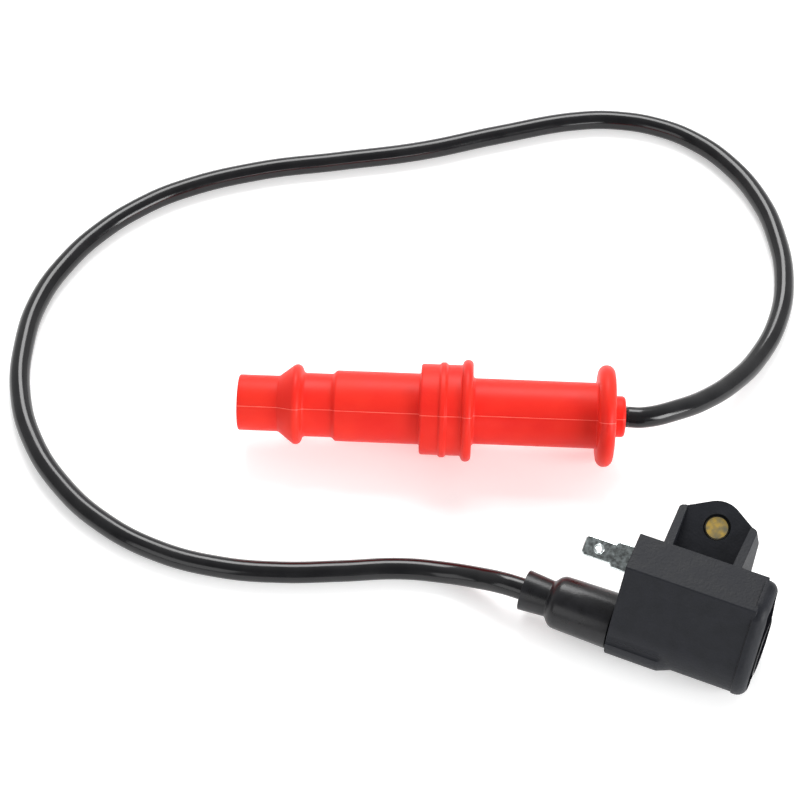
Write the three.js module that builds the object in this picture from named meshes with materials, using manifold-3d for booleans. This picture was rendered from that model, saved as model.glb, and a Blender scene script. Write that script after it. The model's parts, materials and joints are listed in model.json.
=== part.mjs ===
// Small-engine ignition coil with its high-tension lead and spark plug boot.
// Millimetres. X runs along the case towards its open end, Y points away from the sloped front
// towards the mounting ear, Z points up. The origin is the centre of the case's flat base.
import * as THREE from "three";
import { mergeVertices } from "three/addons/utils/BufferGeometryUtils.js";
import Module from "manifold-3d";

const wasm = await Module();
wasm.setup();

// ---------------------------------------------------------------- driving dimensions

const gap = 0.3; // between two pieces that touch
const join = 0.5; // how far two shapes run into each other before they are joined

const caseLength = 40;
const caseHeight = 35;
const topWidth = 13.5; // flat strip on top, front edge to back
const baseWidth = 14.14;
const frontRadius = 12.1; // round lower front
const wall = 2.2;
const endWall = 2.5; // wall on the tower's side
const rimGroove = 1.8; // from the end of the plain case to the rim
const rimWidth = 2.6;
const rimProud = 0.5;
const plugDome = 1.9; // how far the potting stands out of the rim
const domeRadius = 60;
const domeY = -5; // middle of the case's mouth
const domeZ = 16;
const plugDepth = 3.9;

const earOffset = 20.45; // ear's middle from the tower end of the case
const earTilt = THREE.MathUtils.degToRad(24);
const earDrop = 7.6; // pocket floor below the case top, at the root
const earPlate = 6;
const earHoleReach = 13.75; // along the plate, root to hole
const earCornerReach = 16.64;
const earArc = 8.3;
const earRootHalf = 13.1;
const earCornerHalf = 12.1;
const ribWidth = 2.8;
const insertWindow = 4.15; // radius of the round opening over the insert
const insertRecess = 1.8;
const insertFace = 3.7;
const insertBody = 4.6;
const insertLength = 8.2;
const insertCollar = 1; // height of its narrow end, under the window
const insertChamfer = 0.4;
const insertCap = 1.6; // brass over the thread's blind end
const threadRadius = 2.5;
const bossWall = 2.6;

const terminalWide = 8.4;
const terminalNarrow = 6.3;
const terminalThick = 0.8;
const terminalLength = 14.9;
const terminalShoulder = 4.8;
const terminalHole = 0.9;
const terminalDrop = 3; // below the case top
const terminalInset = 5; // behind the case's front edge
const terminalCorner = 0.8;
const terminalHoleReach = 4.9; // from the tip

const leadRadius = 3.5;
const towerY = -10.23;
const towerZ = 10;
const towerLength = 17;
const towerWall = 2.6;
const fairingRadius = 10;
const fairingLength = 17;
const fairingSlope = 3.6; // slanted end beyond the full length
const fairingTaper = 2;
const postRadius = 1.5;
const postHead = 2.6;
const postReach = 9; // how far its point goes into the lead
const postFlange = 1.6;
const towerFloor = 1.5; // plastic under the tower's bore, outside the case's end
const capWall = 2.1;
const capLength = 18.1;
const capShoulder = 2.4;
const collarLength = 7.6;
const collarWall = 2;

const coilY = -5.8; // axis of the windings
const coilZ = 14;
const coreWidth = 4;
const sheetThick = 0.6;
const sheetCount = 5;
const bobbinWall = 0.6;
const primaryDepth = 0.7;
const secondaryDepth = 2.1;
const sectionCount = 4;
const flangeThick = 0.8;
const wireRadius = 0.5;
const contactSpace = 2.5; // in front of the spools, for the post and the supply wire
const wireSpace = 3.5; // behind the spools, for the return wire
const coreOverhang = 2;
const contactThick = 0.7;

const bootRest = 16.7; // radius of the boot's largest ring, which it lies on
const bootTurn = THREE.MathUtils.degToRad(20.2);
const bootEnd = [-162, 17]; // open end of the boot
const bootLength = 128.6;
const socketRadius = 6.3;
const socketDepth = 28;
const chamberRadius = 5.6;
const leadBoreDepth = 44.3; // how far the lead's own bore reaches in from its end
const clipWall = 1.1;
const clipBore = 3.3;
const clipLength = 16;
const resistorLength = 20;
const springCoils = 5;
const springWire = 0.45;
const screwHead = 2.8;
const conductorRadius = 1.5;

// ---------------------------------------------------------------- derived places

const leftEnd = -caseLength / 2;
const rimBack = caseLength / 2 + rimGroove;
const rimFace = rimBack + rimWidth;
const backY = baseWidth / 2;
const creaseY = backY - topWidth;
const cavityStart = leftEnd + endWall;
const earX = leftEnd + earOffset;
const terminalZ = caseHeight - terminalDrop;
const terminalY = creaseY + terminalInset;
const leadBore = leadRadius + gap;
const towerRadius = leadBore + towerWall;
const capBore = towerRadius + gap;
const plugInner = rimFace - plugDepth;
const seat = leftEnd - towerFloor; // bottom of the tower's bore

// ---------------------------------------------------------------- helpers

function cleaned(geometry) {
  const bare = geometry.clone();
  bare.deleteAttribute("normal");
  bare.deleteAttribute("uv");
  const merged = mergeVertices(bare, 1e-4);
  const kept = [];
  const index = merged.index.array;
  for (let i = 0; i < index.length; i += 3) {
    const [a, b, c] = [index[i], index[i + 1], index[i + 2]];
    if (a !== b && b !== c && c !== a) kept.push(a, b, c);
  }
  merged.setIndex(kept);
  return merged;
}

function solidOf(geometry) {
  const merged = cleaned(geometry);
  return new wasm.Manifold(
    new wasm.Mesh({
      numProp: 3,
      vertProperties: merged.attributes.position.array,
      triVerts: new Uint32Array(merged.index.array),
    }),
  );
}

function geometryOf(solid) {
  const mesh = solid.getMesh();
  const geometry = new THREE.BufferGeometry();
  geometry.setAttribute("position", new THREE.BufferAttribute(mesh.vertProperties, 3));
  geometry.setIndex(new THREE.BufferAttribute(mesh.triVerts, 1));
  geometry.computeVertexNormals();
  return geometry;
}

// A Y-Z outline pushed along X.
function alongX(shape, start, end) {
  const options = { depth: end - start, bevelEnabled: false, curveSegments: 10 };
  const geometry = new THREE.ExtrudeGeometry(shape, options);
  const toX = new THREE.Matrix4().set(0, 0, 1, start, 1, 0, 0, 0, 0, 1, 0, 0, 0, 0, 0, 1);
  return geometry.applyMatrix4(toX);
}

// Turned about X. Points are [radius, x], outside first with x rising, then back along the bore.
function turned(points, segments = 24) {
  const profile = points.map(([radius, x]) => new THREE.Vector2(radius, x));
  return new THREE.LatheGeometry(profile, segments).rotateZ(-Math.PI / 2);
}

function ring(outer, inner, start, end, segments = 24) {
  const points = [[inner, start], [outer, start], [outer, end], [inner, end], [inner, start]];
  return turned(points, segments);
}

function rod(radius, start, end, segments = 24) {
  return turned([[0, start], [radius, start], [radius, end], [0, end]], segments);
}

function block(x0, x1, y0, y1, z0, z1) {
  const geometry = new THREE.BoxGeometry(x1 - x0, y1 - y0, z1 - z0);
  return geometry.translate((x0 + x1) / 2, (y0 + y1) / 2, (z0 + z1) / 2);
}

function outline(points) {
  return new THREE.Shape(points.map(([x, y]) => new THREE.Vector2(x, y)));
}

// Sheet or plate that leans back by the ear's angle: local x is X, local y climbs the lean,
// local z is its upper side.
function leaning(geometry, x, y, z) {
  return geometry.rotateX(earTilt).translate(x, y, z);
}

function plate(shape, low, high) {
  const options = { depth: high - low, bevelEnabled: false, curveSegments: 8 };
  return new THREE.ExtrudeGeometry(shape, options).translate(0, 0, low);
}

// Round wire or cable along a smooth curve through points.
function strand(points, radius, sides, steps) {
  const section = new THREE.Shape();
  for (let i = 0; i < sides; i += 1) {
    const angle = (2 * Math.PI * i) / sides;
    const [u, v] = [radius * Math.cos(angle), radius * Math.sin(angle)];
    if (i === 0) section.moveTo(u, v);
    else section.lineTo(u, v);
  }
  const extrudePath = new THREE.CatmullRomCurve3(points.map((p) => new THREE.Vector3(...p)));
  return new THREE.ExtrudeGeometry(section, { steps, extrudePath });
}

function material(color, roughness, metalness = 0) {
  return new THREE.MeshStandardMaterial({ color, roughness, metalness });
}

const casePlastic = material(0x1d1d20, 0.55);
const pottingResin = material(0x0c0c0e, 0.12);
const bobbinPlastic = material(0xb8b2a0, 0.5);
const coreSteel = material(0x8a8c90, 0.45, 0.9);
const copper = material(0xb46a38, 0.35, 0.9);
const brass = material(0xb9a15a, 0.35, 0.9);
const zincPlate = material(0x9a9c9f, 0.4, 0.9);
const blackRubber = material(0x0b0b0c, 0.3);
const leadJacket = material(0x0d0d0f, 0.25);
const redSilicone = material(0xee3628, 0.45);
const phenolic = material(0x4a2a1c, 0.5);
const ceramic = material(0xe8e2d2, 0.4);

const ignitionCoil = new THREE.Group();
const coilUnit = new THREE.Group();
const plugBoot = new THREE.Group();
plugBoot.position.set(bootEnd[0], bootEnd[1], bootRest);
plugBoot.rotation.z = bootTurn;
ignitionCoil.add(coilUnit, plugBoot);

function place(group, name, geometry, finish) {
  const mesh = new THREE.Mesh(geometry, finish);
  mesh.name = name;
  group.add(mesh);
  return mesh;
}

// ---------------------------------------------------------------- case

// The case's section, moved inwards by inset: flat base, round lower front, straight sloped
// front up to the crease, flat top, upright back.
function caseSection(inset) {
  const centre = new THREE.Vector2(-baseWidth / 2, frontRadius);
  const crease = new THREE.Vector2(creaseY, caseHeight);
  const toCrease = crease.clone().sub(centre);
  const spread = Math.acos(frontRadius / toCrease.length());
  const tangent = toCrease.angle() + spread;
  const normal = new THREE.Vector2(Math.cos(tangent), Math.sin(tangent));
  const radius = frontRadius - inset;
  const top = caseHeight - inset;
  const slope = normal.clone().multiplyScalar(radius).add(centre);
  const topY = slope.x + ((top - slope.y) * -normal.y) / normal.x;
  const section = new THREE.Shape();
  section.moveTo(backY - inset, inset);
  section.lineTo(backY - inset, top);
  section.lineTo(topY, top);
  section.lineTo(slope.x, slope.y);
  section.absarc(centre.x, centre.y, radius, tangent, 1.5 * Math.PI, false);
  section.closePath();
  return section;
}

// The ear's plate: sides lean in from the root, and from its two corners straight lines run up
// until they touch an arc round the hole.
function earOutline() {
  const corner = new THREE.Vector2(earCornerHalf, earCornerReach - earHoleReach);
  const start = corner.angle() + Math.acos(earArc / corner.length());
  const shape = new THREE.Shape();
  shape.moveTo(-earRootHalf, -earPlate);
  shape.lineTo(earRootHalf, -earPlate);
  shape.lineTo(earCornerHalf, earCornerReach);
  shape.absarc(0, earHoleReach, earArc, start, Math.PI - start, false);
  shape.lineTo(-earCornerHalf, earCornerReach);
  shape.closePath();
  return shape;
}

const earRootZ = caseHeight - earDrop;
const bossRadius = insertBody + gap + bossWall;
const insertBack = -(insertRecess + insertLength);

function onEar(geometry) {
  return leaning(geometry, earX, backY, earRootZ);
}

// Turned about the ear hole's axis: points are [radius, height over the pocket floor].
function earTurned(points, segments = 24) {
  const profile = points.map(([radius, height]) => new THREE.Vector2(radius, height));
  const geometry = new THREE.LatheGeometry(profile, segments).rotateX(Math.PI / 2);
  return onEar(geometry.translate(0, earHoleReach, 0));
}

function earRib(side) {
  const cornerY = backY + earCornerReach * Math.cos(earTilt);
  const points = [
    [earX + side * earRootHalf, backY - join],
    [earX + side * earCornerHalf, cornerY],
    [earX + side * (earCornerHalf - ribWidth), cornerY],
    [earX + side * (earRootHalf - ribWidth), backY - join],
  ];
  if (side > 0) points.reverse();
  const options = { depth: earDrop + earPlate, bevelEnabled: false };
  const upright = new THREE.ExtrudeGeometry(outline(points.reverse()), options);
  upright.translate(0, 0, caseHeight - earDrop - earPlate);
  const far = 2 * caseHeight;
  const below = onEar(block(-far, far, -far, far, -far, -earPlate / 2));
  return solidOf(upright).subtract(solidOf(below));
}

const strapHalf = 1.5;
const strapThick = 0.5;
const strapMiddle = -4.5; // under the plate's upper side
const strapInner = -earPlate; // along the plate, inside the cavity
const strapChannel = {
  half: strapHalf + gap,
  low: strapMiddle - strapThick / 2 - gap,
  high: strapMiddle + strapThick / 2 + gap,
};

function buildCase() {
  const fairing = [
    [0, leftEnd],
    [fairingRadius, leftEnd],
    [fairingRadius, leftEnd + fairingLength],
    [fairingRadius - fairingTaper, leftEnd + fairingLength + fairingSlope],
    [0, leftEnd + fairingLength + fairingSlope],
  ];
  const tower = rod(towerRadius, leftEnd - towerLength, leftEnd + join);
  let body = solidOf(alongX(caseSection(0), leftEnd, rimBack + join));
  body = body.add(solidOf(alongX(caseSection(-rimProud), rimBack, rimFace)));
  const underBase = block(rimBack - 1, rimFace + 1, -caseHeight, caseHeight, -rimProud * 2, 0);
  body = body.subtract(solidOf(underBase));
  body = body.add(solidOf(turned(fairing, 32).translate(0, towerY, towerZ)));
  body = body.add(solidOf(tower.translate(0, towerY, towerZ)));
  body = body.add(solidOf(onEar(plate(earOutline(), -earPlate, 0))));
  body = body.add(earRib(1)).add(earRib(-1));
  const boss = [[0, insertBack], [bossRadius, insertBack], [bossRadius, -join], [0, -join]];
  body = body.add(solidOf(earTurned(boss)));

  const bore = insertBody + gap;
  const shelf = -insertRecess - insertCollar;
  const pocket = [
    [0, insertBack - 1],
    [bore, insertBack - 1],
    [bore, shelf],
    [insertWindow, shelf],
    [insertWindow, caseHeight],
    [0, caseHeight],
  ];
  const channel = block(
    -strapChannel.half,
    strapChannel.half,
    strapInner - 1,
    earHoleReach - insertBody,
    strapChannel.low,
    strapChannel.high,
  );
  const slotHalf = terminalWide / 2 + gap;
  const slot = block(leftEnd - 1, cavityStart + 1, -slotHalf, slotHalf, -terminalThick, terminalThick);
  const leadHole = rod(leadBore, leftEnd - towerLength - 1, seat);
  const postHole = rod(postRadius + gap, seat - 1, cavityStart + 1);
  body = body.subtract(solidOf(alongX(caseSection(wall), cavityStart, rimFace + 1)));
  body = body.subtract(solidOf(earTurned(pocket)));
  body = body.subtract(solidOf(onEar(channel)));
  body = body.subtract(solidOf(leaning(slot, 0, terminalY, terminalZ)));
  body = body.subtract(solidOf(leadHole.translate(0, towerY, towerZ)));
  body = body.subtract(solidOf(postHole.translate(0, towerY, towerZ)));
  return geometryOf(body);
}

place(coilUnit, "coil_case", buildCase(), casePlastic);

// Resin that closes the case's open end, with a low dome outside the rim.
function buildPlug() {
  const flat = solidOf(alongX(caseSection(wall + gap), plugInner, rimFace + plugDome));
  const dome = new THREE.SphereGeometry(domeRadius, 40, 40);
  dome.translate(rimFace + plugDome - domeRadius, domeY, domeZ);
  return geometryOf(flat.intersect(solidOf(dome)));
}
place(coilUnit, "potting_plug", buildPlug(), pottingResin);

// ---------------------------------------------------------------- threaded insert, terminal

function buildInsert() {
  const front = -insertRecess;
  const neck = front - insertCollar - gap;
  const threadTop = front - insertCap;
  const points = [
    [threadRadius, insertBack],
    [insertBody, insertBack],
    [insertBody, neck],
    [insertFace, neck],
    [insertFace, front - insertChamfer],
    [insertFace - insertChamfer, front],
    [0, front],
    [0, threadTop],
    [threadRadius, threadTop - 1],
    [threadRadius, insertBack],
  ];
  return earTurned(points);
}
place(coilUnit, "threaded_insert", buildInsert(), brass);

const strapOuter = earHoleReach - insertBody - gap;
const strapLow = strapMiddle - strapThick / 2;
const strap = block(-strapHalf, strapHalf, strapInner, strapOuter, strapLow, strapLow + strapThick);
place(coilUnit, "ground_strap", onEar(strap), brass);

function buildTerminal() {
  const wide = terminalWide / 2;
  const narrow = terminalNarrow / 2;
  const tip = leftEnd - terminalLength;
  const shoulder = leftEnd - terminalShoulder;
  const inner = cavityStart - gap;
  const shape = outline([
    [inner, -wide],
    [inner, wide],
    [shoulder, wide],
    [shoulder - terminalCorner, narrow],
    [tip + terminalCorner, narrow],
    [tip, narrow - terminalCorner],
    [tip, terminalCorner - narrow],
    [tip + terminalCorner, -narrow],
    [shoulder - terminalCorner, -narrow],
    [shoulder, -wide],
  ]);
  const holeX = tip + terminalHoleReach;
  shape.holes.push(new THREE.Path().absarc(holeX, 0, terminalHole, 0, 2 * Math.PI, true));
  const sheet = plate(shape, -terminalThick / 2, terminalThick / 2);
  return leaning(sheet, 0, terminalY, terminalZ);
}
place(coilUnit, "spade_terminal", buildTerminal(), zincPlate);

// ---------------------------------------------------------------- core and windings

const stack = sheetCount * sheetThick + (sheetCount - 1) * gap;
const coreCorner = Math.hypot(stack, coreWidth) / 2;
const primaryBore = coreCorner + gap;
const primaryBody = primaryBore + bobbinWall;
const primaryRim = primaryBody + gap + primaryDepth + gap;
const secondaryBore = primaryRim + gap;
const secondaryBody = secondaryBore + bobbinWall;
const secondaryRim = secondaryBody + gap + secondaryDepth + gap;
const bobbinStart = cavityStart + contactSpace;
const bobbinEnd = plugInner - wireSpace;

function onCoilAxis(geometry) {
  return geometry.translate(0, coilY, coilZ);
}

const coreStart = bobbinStart - coreOverhang;
const coreEnd = bobbinEnd + coreOverhang;
for (let i = 0; i < sheetCount; i += 1) {
  const low = -stack / 2 + i * (sheetThick + gap);
  const half = coreWidth / 2;
  const sheet = block(coreStart, coreEnd, -half, half, low, low + sheetThick);
  place(coilUnit, `core_lamination_${i + 1}`, onCoilAxis(sheet), coreSteel);
}

// A spool: a tube with a flange at each end and between its winding sections.
function spool(bore, body, rim, start, end, sections) {
  const pitch = (end - start - flangeThick) / sections;
  const points = [[bore, start]];
  for (let i = 0; i <= sections; i += 1) {
    const flange = start + i * pitch;
    if (i > 0) points.push([body, flange]);
    points.push([rim, flange], [rim, flange + flangeThick]);
    if (i < sections) points.push([body, flange + flangeThick]);
  }
  points.push([bore, end], [bore, start]);
  return onCoilAxis(turned(points));
}

const primaryStart = bobbinStart + 0.5;
const primaryEnd = bobbinEnd - 0.5;
const primarySpool = spool(primaryBore, primaryBody, primaryRim, primaryStart, primaryEnd, 1);
place(coilUnit, "primary_bobbin", primarySpool, bobbinPlastic);
const primaryWire = ring(
  primaryRim - gap,
  primaryBody + gap,
  primaryStart + flangeThick + gap,
  primaryEnd - flangeThick - gap,
);
place(coilUnit, "primary_winding", onCoilAxis(primaryWire), copper);

const secondarySpool = spool(
  secondaryBore,
  secondaryBody,
  secondaryRim,
  bobbinStart,
  bobbinEnd,
  sectionCount,
);
place(coilUnit, "secondary_bobbin", secondarySpool, bobbinPlastic);
const sectionPitch = (bobbinEnd - bobbinStart - flangeThick) / sectionCount;
for (let i = 0; i < sectionCount; i += 1) {
  const start = bobbinStart + i * sectionPitch + flangeThick + gap;
  const end = bobbinStart + (i + 1) * sectionPitch - gap;
  const winding = ring(secondaryRim - gap, secondaryBody + gap, start, end);
  place(coilUnit, `secondary_winding_${i + 1}`, onCoilAxis(winding), copper);
}

// Supply wire from the blade's inner edge down to the primary bobbin.
const supplyX = (cavityStart + bobbinStart) / 2 + 0.25;
const supplyWire = [
  [supplyX, terminalY, terminalZ - 0.8],
  [supplyX, terminalY, terminalZ - 5],
  [supplyX, coilY + 3, coilZ + secondaryRim],
  [supplyX, coilY, coilZ + primaryRim],
];
place(coilUnit, "supply_wire", strand(supplyWire, wireRadius, 6, 12), copper);

// Return wire from the ground strap over the windings to the primary bobbin's far end.
const strapInsideY =
  backY + strapInner * Math.cos(earTilt) - strapMiddle * Math.sin(earTilt);
const strapInsideZ =
  earRootZ + strapInner * Math.sin(earTilt) + strapMiddle * Math.cos(earTilt);
const returnX = bobbinEnd + gap + wireRadius + 0.2;
const returnWire = [
  [earX, strapInsideY, strapInsideZ - wireRadius - 2 * gap],
  [earX + 6, strapInsideY - 0.4, strapInsideZ - 0.6],
  [returnX - 4, strapInsideY - 1, strapInsideZ],
  [returnX, coilY + primaryRim + 2, coilZ + primaryRim],
  [returnX, coilY + 1, coilZ + primaryRim - 0.4],
];
place(coilUnit, "return_wire", strand(returnWire, wireRadius, 6, 16), copper);

// ---------------------------------------------------------------- tower, its post and rubber cap

function onTower(geometry) {
  return geometry.translate(0, towerY, towerZ);
}

const postEnd = bobbinStart - 2 * gap - contactThick;
const leadFace = seat - postFlange - gap; // cut end of the lead
const postPoint = leadFace - postReach;

const post = [
  [0, postPoint],
  [0.4, postPoint],
  [conductorRadius - gap, postPoint + 2.5],
  [conductorRadius - gap, seat - postFlange],
  [postHead, seat - postFlange],
  [postHead, seat - gap],
  [postRadius, seat - gap],
  [postRadius, postEnd],
  [0, postEnd],
];
place(coilUnit, "high_tension_post", onTower(turned(post, 16)), brass);

const contactFace = postEnd + gap;
const contact = block(contactFace, contactFace + contactThick, -1.4, 3, -1.4, 1.4);
place(coilUnit, "high_tension_contact", onTower(contact), brass);

const capMouth = leftEnd - gap;
const capShoulderX = capMouth - capLength;
const collarRoot = capShoulderX - capShoulder;
const collarEnd = collarRoot - collarLength;
const capStep = leftEnd - towerLength - gap;

const cap = [
  [leadBore, collarEnd],
  [leadBore + collarWall, collarEnd],
  [leadBore + collarWall + 0.55, collarEnd + 0.6],
  [leadBore + collarWall, collarRoot],
  [leadBore + collarWall + 1.5, collarRoot + 0.5],
  [capBore + capWall - 0.7, capShoulderX - 0.3],
  [capBore + capWall - 0.3, capShoulderX + 0.8],
  [capBore + capWall, capMouth],
  [capBore, capMouth],
  [capBore, capStep],
  [leadBore, capStep],
  [leadBore, collarEnd],
];
place(coilUnit, "tower_cap", onTower(turned(cap)), blackRubber);

// The lead's end in the tower, hollow where the post's point goes into its strands.
const leadStub = [
  [0, collarEnd],
  [leadRadius, collarEnd],
  [leadRadius, leadFace],
  [conductorRadius, leadFace],
  [conductorRadius, postPoint - gap],
  [0, postPoint - gap],
];
place(coilUnit, "lead_coil_end", onTower(turned(leadStub, 16)), leadJacket);

// ---------------------------------------------------------------- spark plug boot

// Outside of the boot from its open end: nose, retaining barb, neck, barrel, ringed collar,
// handle barrel, grip flange and lead hub.
const bootOutside = [
  [8.4, 0],
  [9.1, 0.8],
  [9.1, 14],
  [12.9, 19.2],
  [13.2, 20.4],
  [12.6, 21.6],
  [10.45, 22.3],
  [10.45, 32],
  [11.65, 33],
  [11.65, 60.6],
  [14.9, 60.9],
  [14.9, 67],
  [15.6, 67.4],
  [15.6, 68.8],
  [14.9, 69.2],
  [14.9, 74.3],
  [bootRest, 74.9],
  [bootRest, 77],
  [15.9, 77.6],
  [10.8, 77.6],
  [10.8, 119.1],
  [15.4, 119.1],
  [bootRest, 120.6],
  [bootRest, 123.9],
  [15.4, 125.4],
  [6.7, 125.4],
  [6.7, 127.8],
  [6.2, bootLength],
];
const boreStep = bootLength - leadBoreDepth;
const bootBore = [
  [leadBore, bootLength],
  [leadBore, boreStep],
  [chamberRadius, boreStep],
  [chamberRadius, socketDepth],
  [socketRadius, socketDepth],
  [socketRadius, 0],
];
place(plugBoot, "plug_boot", turned([...bootOutside, ...bootBore, bootOutside[0]]), redSilicone);

const clipStart = socketDepth;
const clipEnd = clipStart + clipLength;
const clipOuter = clipBore + clipWall;
const clip = ring(clipOuter, clipBore, clipStart, clipEnd, 20);
place(plugBoot, "plug_clip", clip, zincPlate);
const clipMiddle = (clipStart + clipEnd) / 2;
const clipSpring = ring(chamberRadius - gap, clipOuter + gap, clipMiddle - 0.5, clipMiddle + 0.5, 20);
place(plugBoot, "clip_spring", clipSpring, zincPlate);

const insulatorStart = clipEnd + gap;
const insulatorEnd = boreStep - gap;
const insulatorBore = clipBore + 0.1;
const insulator = ring(chamberRadius - gap, insulatorBore, insulatorStart, insulatorEnd, 20);
place(plugBoot, "boot_insulator", insulator, phenolic);

const resistorStart = insulatorStart + 2;
const resistorEnd = resistorStart + resistorLength;
const resistorRadius = insulatorBore - gap;
const resistor = rod(resistorRadius, resistorStart, resistorEnd, 16);
place(plugBoot, "suppression_resistor", resistor, ceramic);

// Screw that holds the lead: its point goes into the strands.
const screwHeadEnd = insulatorEnd - 1;
const screwTip = insulatorEnd + 11;
const screw = [
  [0, screwHeadEnd - 1.6],
  [screwHead, screwHeadEnd - 1.6],
  [screwHead, screwHeadEnd],
  [conductorRadius - gap, screwHeadEnd],
  [conductorRadius - gap, screwTip - 2.5],
  [0.4, screwTip],
  [0, screwTip],
];
place(plugBoot, "lead_screw", turned(screw, 16), brass);

function helix(start, end, radius) {
  const points = [];
  const steps = springCoils * 8;
  for (let i = 0; i <= steps; i += 1) {
    const angle = (2 * Math.PI * i) / 8;
    const x = start + ((end - start) * i) / steps;
    points.push([x, radius * Math.cos(angle), radius * Math.sin(angle)]);
  }
  return points;
}
const springStart = resistorEnd + gap + springWire;
const springEnd = screwHeadEnd - 1.6 - gap - springWire;
const springPath = helix(springStart, springEnd, screwHead - springWire - 0.1);
const springSteps = springCoils * 10;
place(plugBoot, "resistor_spring", strand(springPath, springWire, 6, springSteps), zincPlate);

const bootLead = [
  [conductorRadius, boreStep + gap],
  [leadRadius, boreStep + gap],
  [leadRadius, bootLength],
  [0, bootLength],
  [0, screwTip + gap],
  [conductorRadius, screwTip + gap],
  [conductorRadius, boreStep + gap],
];
place(plugBoot, "lead_boot_end", turned(bootLead, 16), leadJacket);

// ---------------------------------------------------------------- lead

// From the cap's collar along the surface in one wide loop and up into the boot.
function onBootAxis(distance) {
  const x = bootEnd[0] + distance * Math.cos(bootTurn);
  return [x, bootEnd[1] + distance * Math.sin(bootTurn), bootRest];
}
const leadGap = 2 * gap;
const bed = leadRadius + 0.1; // height of the lead's middle where it lies on the table
const leadRoute = [
  [collarEnd - leadGap, towerY, towerZ],
  [collarEnd - leadGap - 3, towerY, towerZ],
  [-57, -10.2, 9.5],
  [-66, -9.6, 6.4],
  [-76, -10.2, 4],
  [-90, -14.2, bed],
  [-107, -22.4, bed],
  [-124.5, -30.3, bed],
  [-143, -36, bed],
  [-164, -38.2, bed],
  [-186, -35, bed],
  [-205, -27.2, bed],
  [-222, -15.2, bed],
  [-235.5, 0.5, bed],
  [-245, 20, bed],
  [-250, 40, bed],
  [-249.5, 60, bed],
  [-245.5, 76.7, bed],
  [-238, 93, bed],
  [-228.5, 106.3, bed],
  [-206, 126.5, bed],
  [-181, 142.5, bed],
  [-155.5, 159, bed],
  [-131.5, 178.5, bed],
  [-106.5, 197, bed],
  [-92.5, 203, bed],
  [-77.5, 205.3, bed],
  [-64, 203.7, bed],
  [-49, 197.5, bed],
  [-32.5, 184.3, bed],
  [-20.8, 168, bed],
  [-13, 150.5, bed],
  [-9.6, 132, bed],
  [-11, 112, 4.6],
  [-15, 96.5, 7.6],
  [-20.7, 83, 11.2],
  [-27.2, 72.8, 14.4],
  onBootAxis(bootLength + leadGap + 4),
  onBootAxis(bootLength + leadGap),
];
place(ignitionCoil, "high_tension_lead", strand(leadRoute, leadRadius, 8, 66), leadJacket);

export default ignitionCoil;
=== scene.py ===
"""Small-engine ignition coil with its high-tension lead and red spark plug boot.

Meshes are shaped in millimetres in the model's own frame and turned to metres when they are
finished: X runs along the case, Y towards the mounting ear, Z up.
"""
import json
import math

import bmesh
import bpy
from mathutils import Matrix, Vector


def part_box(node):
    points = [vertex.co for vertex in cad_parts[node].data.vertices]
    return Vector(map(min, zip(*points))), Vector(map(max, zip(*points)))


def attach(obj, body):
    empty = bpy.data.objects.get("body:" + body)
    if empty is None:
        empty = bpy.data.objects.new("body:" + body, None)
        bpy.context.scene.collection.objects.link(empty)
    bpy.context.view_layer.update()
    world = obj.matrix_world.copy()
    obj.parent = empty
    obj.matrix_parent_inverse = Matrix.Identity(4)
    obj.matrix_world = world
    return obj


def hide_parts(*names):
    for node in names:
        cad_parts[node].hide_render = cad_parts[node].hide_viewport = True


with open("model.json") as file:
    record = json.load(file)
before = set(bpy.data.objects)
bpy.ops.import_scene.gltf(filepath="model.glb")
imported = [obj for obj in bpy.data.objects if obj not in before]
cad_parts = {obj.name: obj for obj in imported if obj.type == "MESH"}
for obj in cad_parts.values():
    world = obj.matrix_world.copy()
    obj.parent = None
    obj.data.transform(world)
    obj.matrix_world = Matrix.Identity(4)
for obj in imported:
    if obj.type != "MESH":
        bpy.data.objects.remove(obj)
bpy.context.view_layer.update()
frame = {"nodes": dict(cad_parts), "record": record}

# ---------------------------------------------------------------- camera
# A long lens looks down on the table at 52 degrees. It stands in front of the coil, turned so
# that the boot lies nearly square across the view and the case's mouth just shows.

view_turn = math.radians(23)
view_height = math.radians(52)
view_distance = 0.715
view_target = Vector((-0.1177, 0.0508, 0.0))

view_away = Vector((-math.sin(view_turn), math.cos(view_turn), 0))
view_right = Vector((math.cos(view_turn), math.sin(view_turn), 0))
view_back = Vector((0, 0, math.sin(view_height))) - view_away * math.cos(view_height)
view_up = view_back.cross(view_right)

camera_data = bpy.data.cameras.new("camera")
camera_data.sensor_width = 36
camera_data.lens = 94.95
camera_data.clip_start = 0.01
camera = bpy.data.objects.new("camera", camera_data)
axes = Matrix((view_right, view_up, view_back)).transposed().to_4x4()
camera.matrix_world = Matrix.Translation(view_target + view_back * view_distance) @ axes
bpy.context.collection.objects.link(camera)
bpy.context.scene.camera = camera

# ---------------------------------------------------------------- high-tension lead
# Seven millimetre ignition lead, stranded copper under a glossy black jacket. It leaves the
# tower's rubber cap, lies in one wide loop on the table and rises into the boot's hub.

MM = 0.001
tower_y = -10.23
tower_z = 10.0
lead_diameter = 0.007
end_gap = 0.0001  # left free at each end of the lead
exit_knot = 0.0036
entry_knot = 0.0046
lead_exit = Vector((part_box("lead_coil_end")[0][0], tower_y * MM, tower_z * MM))
boot_turn = math.radians(20.2)
boot_direction = Vector((math.cos(boot_turn), math.sin(boot_turn), 0))
boot_mouth = Vector((-0.162, 0.017, 0.0167))
boot_length = 0.1286
hub_end = boot_mouth + boot_direction * boot_length

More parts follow.
